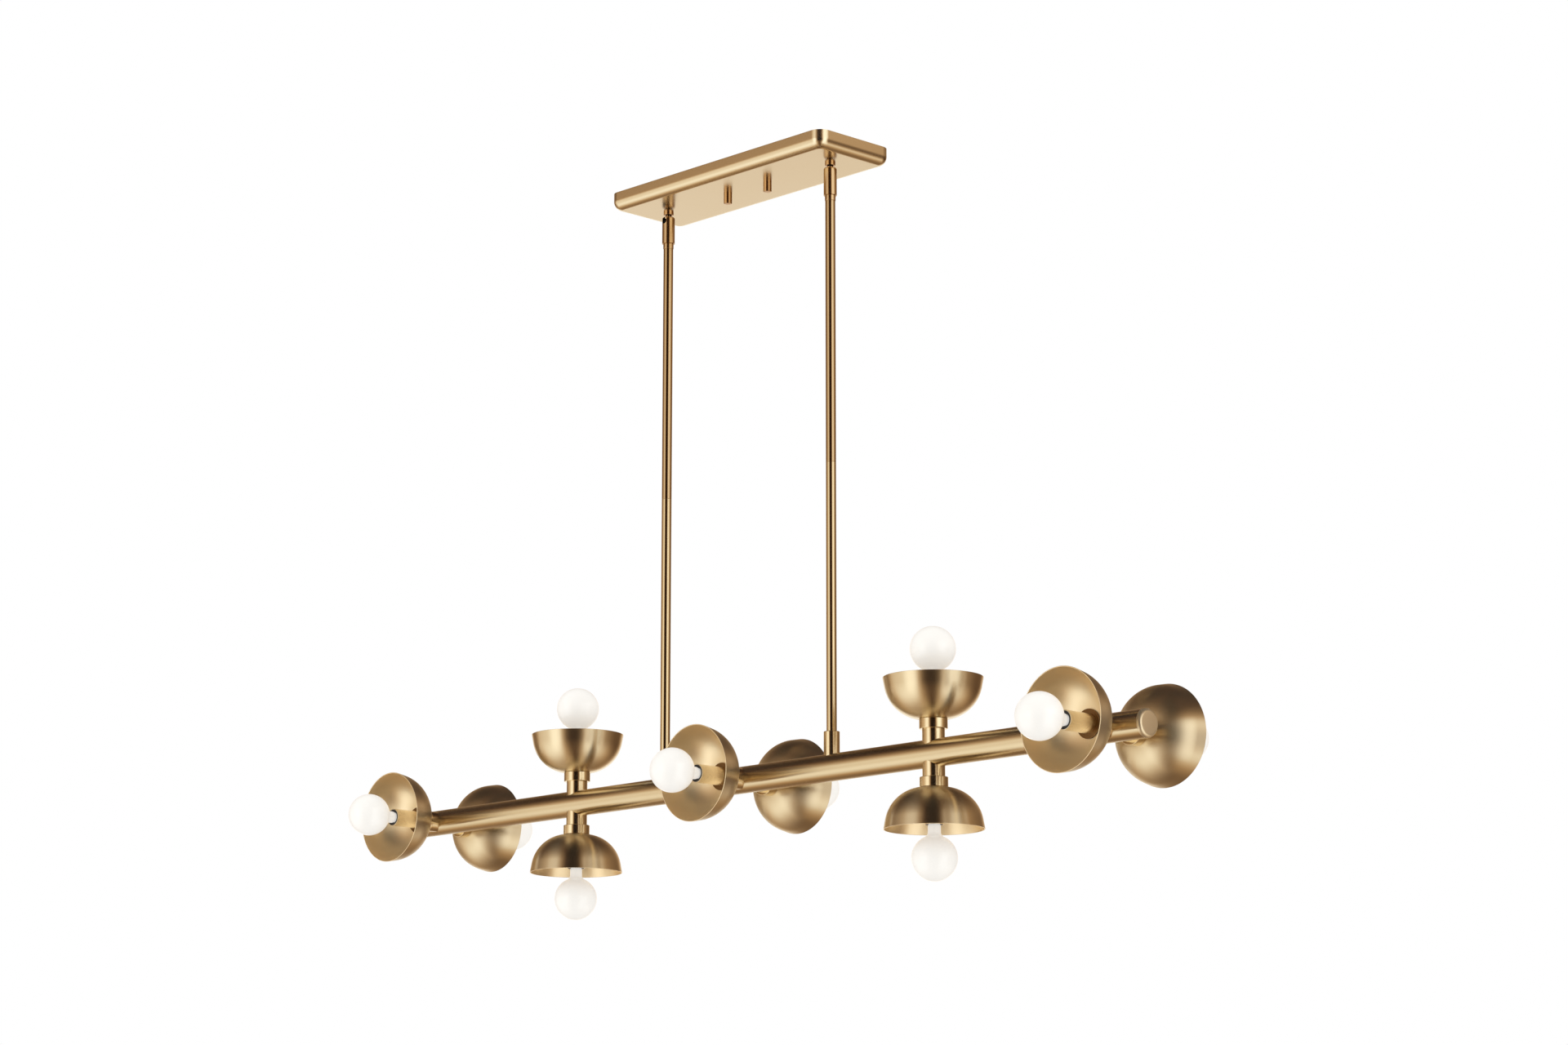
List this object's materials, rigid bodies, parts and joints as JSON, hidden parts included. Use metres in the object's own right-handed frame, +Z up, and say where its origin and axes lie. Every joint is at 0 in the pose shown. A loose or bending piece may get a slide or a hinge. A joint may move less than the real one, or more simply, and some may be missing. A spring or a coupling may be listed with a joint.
{
  "type": "linear chandelier",
  "caption": "Linear ceiling light: a long brass tube hangs on jointed stems from a rectangular plate and carries bowl-shaded arms up, down and to both sides, with opal globe bulbs.",
  "frame": {"origin": "middle of the ceiling plate where it meets the ceiling, centre of the two outlet box slots", "axes": "+Z up into the ceiling, +X along the main tube to the right as seen from the front, -Y towards the front lamps"},
  "size_m": [1.201, 0.276, 0.8526],
  "materials": {
    "plate_brass": "satin",
    "rod_brass": "brushed satin",
    "bowl_brass": "spun and brushed",
    "dark_brass": "dark bronzed",
    "fixing_brass": "plain turned",
    "bar_steel": "zinc plated",
    "ground_green": "green passivated",
    "black_plastic": "moulded",
    "opal_glass": "opal, satin",
    "bulb_metal": "plated"
  },
  "bodies": {
    "ceiling": {"canopy": "plate_brass", "mounting_bar": "bar_steel", "canopy_studs": "bar_steel", "ground_screw": "ground_green", "swivel_ball_left": "rod_brass", "swivel_ball_right": "rod_brass", "swivel_washers": "bar_steel", "swivel_hex_nuts": "fixing_brass"},
    "hanging_frame": {"swivel_barrel_left": "rod_brass", "swivel_barrel_right": "rod_brass", "stem_adapters": "rod_brass", "stem_upper_left": "rod_brass", "stem_upper_right": "rod_brass", "stem_lower_left": "rod_brass", "stem_lower_right": "rod_brass", "stem_couplers": "fixing_brass", "stem_collar_left": "rod_brass", "stem_collar_right": "rod_brass", "main_tube": "rod_brass", "end_cap_left": "rod_brass", "end_cap_right": "rod_brass", "arm_stubs": "rod_brass", "arm_collars": "rod_brass", "lamp_nipples": "fixing_brass", "lock_rings": "dark_brass", "socket_sleeves": "rod_brass", "lampholders": "black_plastic", "socket_contacts": "fixing_brass", "shade_left_front": "bowl_brass", "shade_left_back": "bowl_brass", "shade_left_up": "bowl_brass", "shade_left_down": "bowl_brass", "shade_centre_front": "bowl_brass", "shade_centre_back": "bowl_brass", "shade_right_up": "bowl_brass", "shade_right_down": "bowl_brass", "shade_right_front": "bowl_brass", "shade_right_back": "bowl_brass"},
    "canopy_nut_left": {"canopy_nut_left": "rod_brass"},
    "canopy_nut_right": {"canopy_nut_right": "rod_brass"},
    "bulb_left_front": {"bulb_globe_left_front": "opal_glass", "bulb_base_left_front": "bulb_metal"},
    "bulb_left_back": {"bulb_globe_left_back": "opal_glass", "bulb_base_left_back": "bulb_metal"},
    "bulb_left_up": {"bulb_globe_left_up": "opal_glass", "bulb_base_left_up": "bulb_metal"},
    "bulb_left_down": {"bulb_globe_left_down": "opal_glass", "bulb_base_left_down": "bulb_metal"},
    "bulb_centre_front": {"bulb_globe_centre_front": "opal_glass", "bulb_base_centre_front": "bulb_metal"},
    "bulb_centre_back": {"bulb_globe_centre_back": "opal_glass", "bulb_base_centre_back": "bulb_metal"},
    "bulb_right_up": {"bulb_globe_right_up": "opal_glass", "bulb_base_right_up": "bulb_metal"},
    "bulb_right_down": {"bulb_globe_right_down": "opal_glass", "bulb_base_right_down": "bulb_metal"},
    "bulb_right_front": {"bulb_globe_right_front": "opal_glass", "bulb_base_right_front": "bulb_metal"},
    "bulb_right_back": {"bulb_globe_right_back": "opal_glass", "bulb_base_right_back": "bulb_metal"}
  },
  "joints": [
    {"name": "frame_swing", "type": "hinge", "parent": "ceiling", "child": "hanging_frame", "pos_m": [0, 0, -0.0316], "axis": [1, 0, 0], "range_deg": [-15, 15]},
    {"name": "canopy_nut_left_unscrew", "type": "hinge", "parent": "ceiling", "child": "canopy_nut_left", "pos_m": [-0.0335, 0, -0.0256], "axis": [0, 0, -1], "range_deg": [0, 4320]},
    {"name": "canopy_nut_right_unscrew", "type": "hinge", "parent": "ceiling", "child": "canopy_nut_right", "pos_m": [0.0335, 0, -0.0256], "axis": [0, 0, -1], "range_deg": [0, 4320]},
    {"name": "bulb_left_front_unscrew", "type": "hinge", "parent": "hanging_frame", "child": "bulb_left_front", "pos_m": [-0.546, -0.113, -0.7146], "axis": [0, -1, 0], "range_deg": [0, 1440]},
    {"name": "bulb_left_back_unscrew", "type": "hinge", "parent": "hanging_frame", "child": "bulb_left_back", "pos_m": [-0.546, 0.113, -0.7146], "axis": [0, 1, 0], "range_deg": [0, 1440]},
    {"name": "bulb_left_up_unscrew", "type": "hinge", "parent": "hanging_frame", "child": "bulb_left_up", "pos_m": [-0.292, 0, -0.6016], "axis": [0, 0, 1], "range_deg": [0, 1440]},
    {"name": "bulb_left_down_unscrew", "type": "hinge", "parent": "hanging_frame", "child": "bulb_left_down", "pos_m": [-0.292, 0, -0.8276], "axis": [0, 0, -1], "range_deg": [0, 1440]},
    {"name": "bulb_centre_front_unscrew", "type": "hinge", "parent": "hanging_frame", "child": "bulb_centre_front", "pos_m": [0, -0.113, -0.7146], "axis": [0, -1, 0], "range_deg": [0, 1440]},
    {"name": "bulb_centre_back_unscrew", "type": "hinge", "parent": "hanging_frame", "child": "bulb_centre_back", "pos_m": [0, 0.113, -0.7146], "axis": [0, 1, 0], "range_deg": [0, 1440]},
    {"name": "bulb_right_up_unscrew", "type": "hinge", "parent": "hanging_frame", "child": "bulb_right_up", "pos_m": [0.292, 0, -0.6016], "axis": [0, 0, 1], "range_deg": [0, 1440]},
    {"name": "bulb_right_down_unscrew", "type": "hinge", "parent": "hanging_frame", "child": "bulb_right_down", "pos_m": [0.292, 0, -0.8276], "axis": [0, 0, -1], "range_deg": [0, 1440]},
    {"name": "bulb_right_front_unscrew", "type": "hinge", "parent": "hanging_frame", "child": "bulb_right_front", "pos_m": [0.546, -0.113, -0.7146], "axis": [0, -1, 0], "range_deg": [0, 1440]},
    {"name": "bulb_right_back_unscrew", "type": "hinge", "parent": "hanging_frame", "child": "bulb_right_back", "pos_m": [0.546, 0.113, -0.7146], "axis": [0, 1, 0], "range_deg": [0, 1440]}
  ]
}
